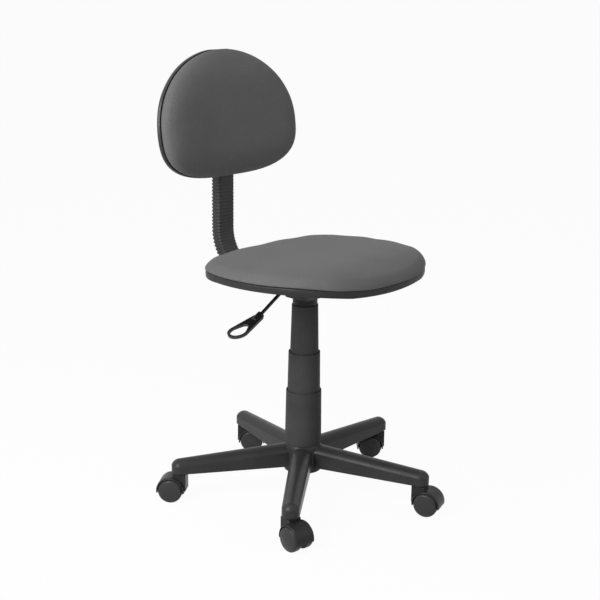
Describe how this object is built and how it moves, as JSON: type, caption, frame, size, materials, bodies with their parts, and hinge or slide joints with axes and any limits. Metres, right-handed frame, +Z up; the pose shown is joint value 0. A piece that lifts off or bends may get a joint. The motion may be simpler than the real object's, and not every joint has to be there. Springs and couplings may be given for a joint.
{
  "type": "office task chair",
  "caption": "Armless swivel task chair with padded seat and back, ribbed back upright, gas lift with loop lever and a star base on twin-wheel casters.",
  "frame": {"origin": "on the floor, on the column axis", "axes": "+Z up, -Y the way the sitter faces, -X the sitter's right, where the lever is"},
  "size_m": [0.5323, 0.5711, 0.8966],
  "materials": {
    "upholstery": "grey woven cover over foam",
    "nylon": "moulded, satin",
    "wheel_nylon": "moulded, satin",
    "cover_plastic": "moulded, satin",
    "bush_plastic": "plain",
    "sleeve_rubber": "ribbed, matte",
    "black_steel": "black powder coat",
    "bright_steel": "ground",
    "zinc_steel": "zinc plated",
    "plywood": "raw plywood",
    "dust_fabric": "black non-woven"
  },
  "bodies": {
    "base": {"star_base": "nylon", "column_tube": "black_steel", "guide_bush": "bush_plastic", "cover_lower": "cover_plastic", "bearing_washer_lower": "bright_steel", "caster_stems": "bright_steel", "grip_rings": "bright_steel"},
    "piston": {"piston_rod": "bright_steel", "bearing_washer_upper": "bright_steel", "bearing_balls": "bright_steel", "rubber_buffer": "sleeve_rubber", "retaining_clip": "bright_steel"},
    "middle_cover": {"cover_middle": "cover_plastic"},
    "seat": {"gas_cylinder": "bright_steel", "seat_plate": "black_steel", "seat_board": "plywood", "seat_edging": "cover_plastic", "seat_cushion": "upholstery", "dust_cover": "dust_fabric", "seat_bolts": "zinc_steel", "tee_nuts": "zinc_steel", "cover_upper": "cover_plastic", "lever_pin": "bright_steel", "spine_bar": "black_steel", "spine_holder": "black_steel", "spine_bolts": "zinc_steel", "spine_nuts": "zinc_steel", "spine_sleeve": "sleeve_rubber"},
    "release_pin": {"release_pin": "bright_steel"},
    "lever": {"lever_rod": "black_steel", "lever_handle": "cover_plastic"},
    "back": {"back_cushion": "upholstery", "back_board": "plywood", "back_shell": "cover_plastic", "back_bracket": "cover_plastic", "bracket_screws": "zinc_steel"},
    "back_knob": {"back_knob": "cover_plastic"},
    "caster_1": {"caster_hood_1": "nylon", "caster_axle_1": "bright_steel"},
    "wheel_left_1": {"wheel_left_1": "wheel_nylon"},
    "wheel_right_1": {"wheel_right_1": "wheel_nylon"},
    "caster_2": {"caster_hood_2": "nylon", "caster_axle_2": "bright_steel"},
    "wheel_left_2": {"wheel_left_2": "wheel_nylon"},
    "wheel_right_2": {"wheel_right_2": "wheel_nylon"},
    "caster_3": {"caster_hood_3": "nylon", "caster_axle_3": "bright_steel"},
    "wheel_left_3": {"wheel_left_3": "wheel_nylon"},
    "wheel_right_3": {"wheel_right_3": "wheel_nylon"},
    "caster_4": {"caster_hood_4": "nylon", "caster_axle_4": "bright_steel"},
    "wheel_left_4": {"wheel_left_4": "wheel_nylon"},
    "wheel_right_4": {"wheel_right_4": "wheel_nylon"},
    "caster_5": {"caster_hood_5": "nylon", "caster_axle_5": "bright_steel"},
    "wheel_left_5": {"wheel_left_5": "wheel_nylon"},
    "wheel_right_5": {"wheel_right_5": "wheel_nylon"}
  },
  "joints": [
    {"name": "swivel", "type": "hinge", "parent": "base", "child": "piston", "pos_m": [0, 0, 0.052], "axis": [0, 0, 1], "continuous": true},
    {"name": "lift", "type": "slide", "parent": "piston", "child": "seat", "axis": [0, 0, 1], "range_m": [-0.1, 0]},
    {"name": "middle_cover_slide", "type": "slide", "parent": "base", "child": "middle_cover", "axis": [0, 0, 1], "range_m": [-0.05, 0]},
    {"name": "lever_lift", "type": "hinge", "parent": "seat", "child": "lever", "pos_m": [-0.038, 0, 0.463], "axis": [0, 1, 0], "range_deg": [0, 5.5], "stiffness_Nm_per_rad": 6, "springref_deg": -14.32},
    {"name": "release_press", "type": "slide", "parent": "seat", "child": "release_pin", "axis": [0, 0, 1], "range_m": [-0.0037, 0]},
    {"name": "back_height", "type": "slide", "parent": "seat", "child": "back", "axis": [0, 0.1392, 0.9903], "range_m": [-0.03, 0.03], "deforming": ["spine_sleeve"]},
    {"name": "back_knob_turn", "type": "hinge", "parent": "back", "child": "back_knob", "pos_m": [0, 0.25879, 0.72435], "axis": [0, 0.9903, -0.1392], "range_deg": [0, 540]},
    {"name": "caster_1_swivel", "type": "hinge", "parent": "base", "child": "caster_1", "pos_m": [0.25694, 0.00538, 0.056], "axis": [0, 0, 1], "continuous": true},
    {"name": "wheel_left_1_roll", "type": "hinge", "parent": "caster_1", "child": "wheel_left_1", "pos_m": [0.23361, 0.0075, 0.025], "axis": [-0.7071, -0.7071, 0], "continuous": true},
    {"name": "wheel_right_1_roll", "type": "hinge", "parent": "caster_1", "child": "wheel_right_1", "pos_m": [0.25482, 0.02872, 0.025], "axis": [-0.7071, -0.7071, 0], "continuous": true},
    {"name": "caster_2_swivel", "type": "hinge", "parent": "base", "child": "caster_2", "pos_m": [0.07428, 0.24603, 0.056], "axis": [0, 0, 1], "continuous": true},
    {"name": "wheel_left_2_roll", "type": "hinge", "parent": "caster_2", "child": "wheel_left_2", "pos_m": [0.09734, 0.24188, 0.025], "axis": [0.766, 0.6428, 0], "continuous": true},
    {"name": "wheel_right_2_roll", "type": "hinge", "parent": "caster_2", "child": "wheel_right_2", "pos_m": [0.07436, 0.2226, 0.025], "axis": [0.766, 0.6428, 0], "continuous": true},
    {"name": "caster_3_swivel", "type": "hinge", "parent": "base", "child": "caster_3", "pos_m": [-0.21104, 0.14667, 0.056], "axis": [0, 0, 1], "continuous": true},
    {"name": "wheel_left_3_roll", "type": "hinge", "parent": "caster_3", "child": "wheel_left_3", "pos_m": [-0.23365, 0.15281, 0.025], "axis": [-0.8192, -0.5736, 0], "continuous": true},
    {"name": "wheel_right_3_roll", "type": "hinge", "parent": "caster_3", "child": "wheel_right_3", "pos_m": [-0.20907, 0.17002, 0.025], "axis": [-0.8192, -0.5736, 0], "continuous": true},
    {"name": "caster_4_swivel", "type": "hinge", "parent": "base", "child": "caster_4", "pos_m": [-0.20471, -0.15538, 0.056], "axis": [0, 0, 1], "continuous": true},
    {"name": "wheel_left_4_roll", "type": "hinge", "parent": "caster_4", "child": "wheel_left_4", "pos_m": [-0.19236, -0.17529, 0.025], "axis": [0.9903, -0.1392, 0], "continuous": true},
    {"name": "wheel_right_4_roll", "type": "hinge", "parent": "caster_4", "child": "wheel_right_4", "pos_m": [-0.22207, -0.17112, 0.025], "axis": [0.9903, -0.1392, 0], "continuous": true},
    {"name": "caster_5_swivel", "type": "hinge", "parent": "base", "child": "caster_5", "pos_m": [0.08452, -0.24271, 0.056], "axis": [0, 0, 1], "continuous": true},
    {"name": "wheel_left_5_roll", "type": "hinge", "parent": "caster_5", "child": "wheel_left_5", "pos_m": [0.10424, -0.25536, 0.025], "axis": [0.9537, 0.3007, 0], "continuous": true},
    {"name": "wheel_right_5_roll", "type": "hinge", "parent": "caster_5", "child": "wheel_right_5", "pos_m": [0.07563, -0.26438, 0.025], "axis": [0.9537, 0.3007, 0], "continuous": true}
  ],
  "couplings": [
    {"joint": "middle_cover_slide", "follows": "lift", "ratio": 0.5},
    {"joint": "release_press", "follows": "lever_lift", "m_per_rad": -0.038}
  ]
}
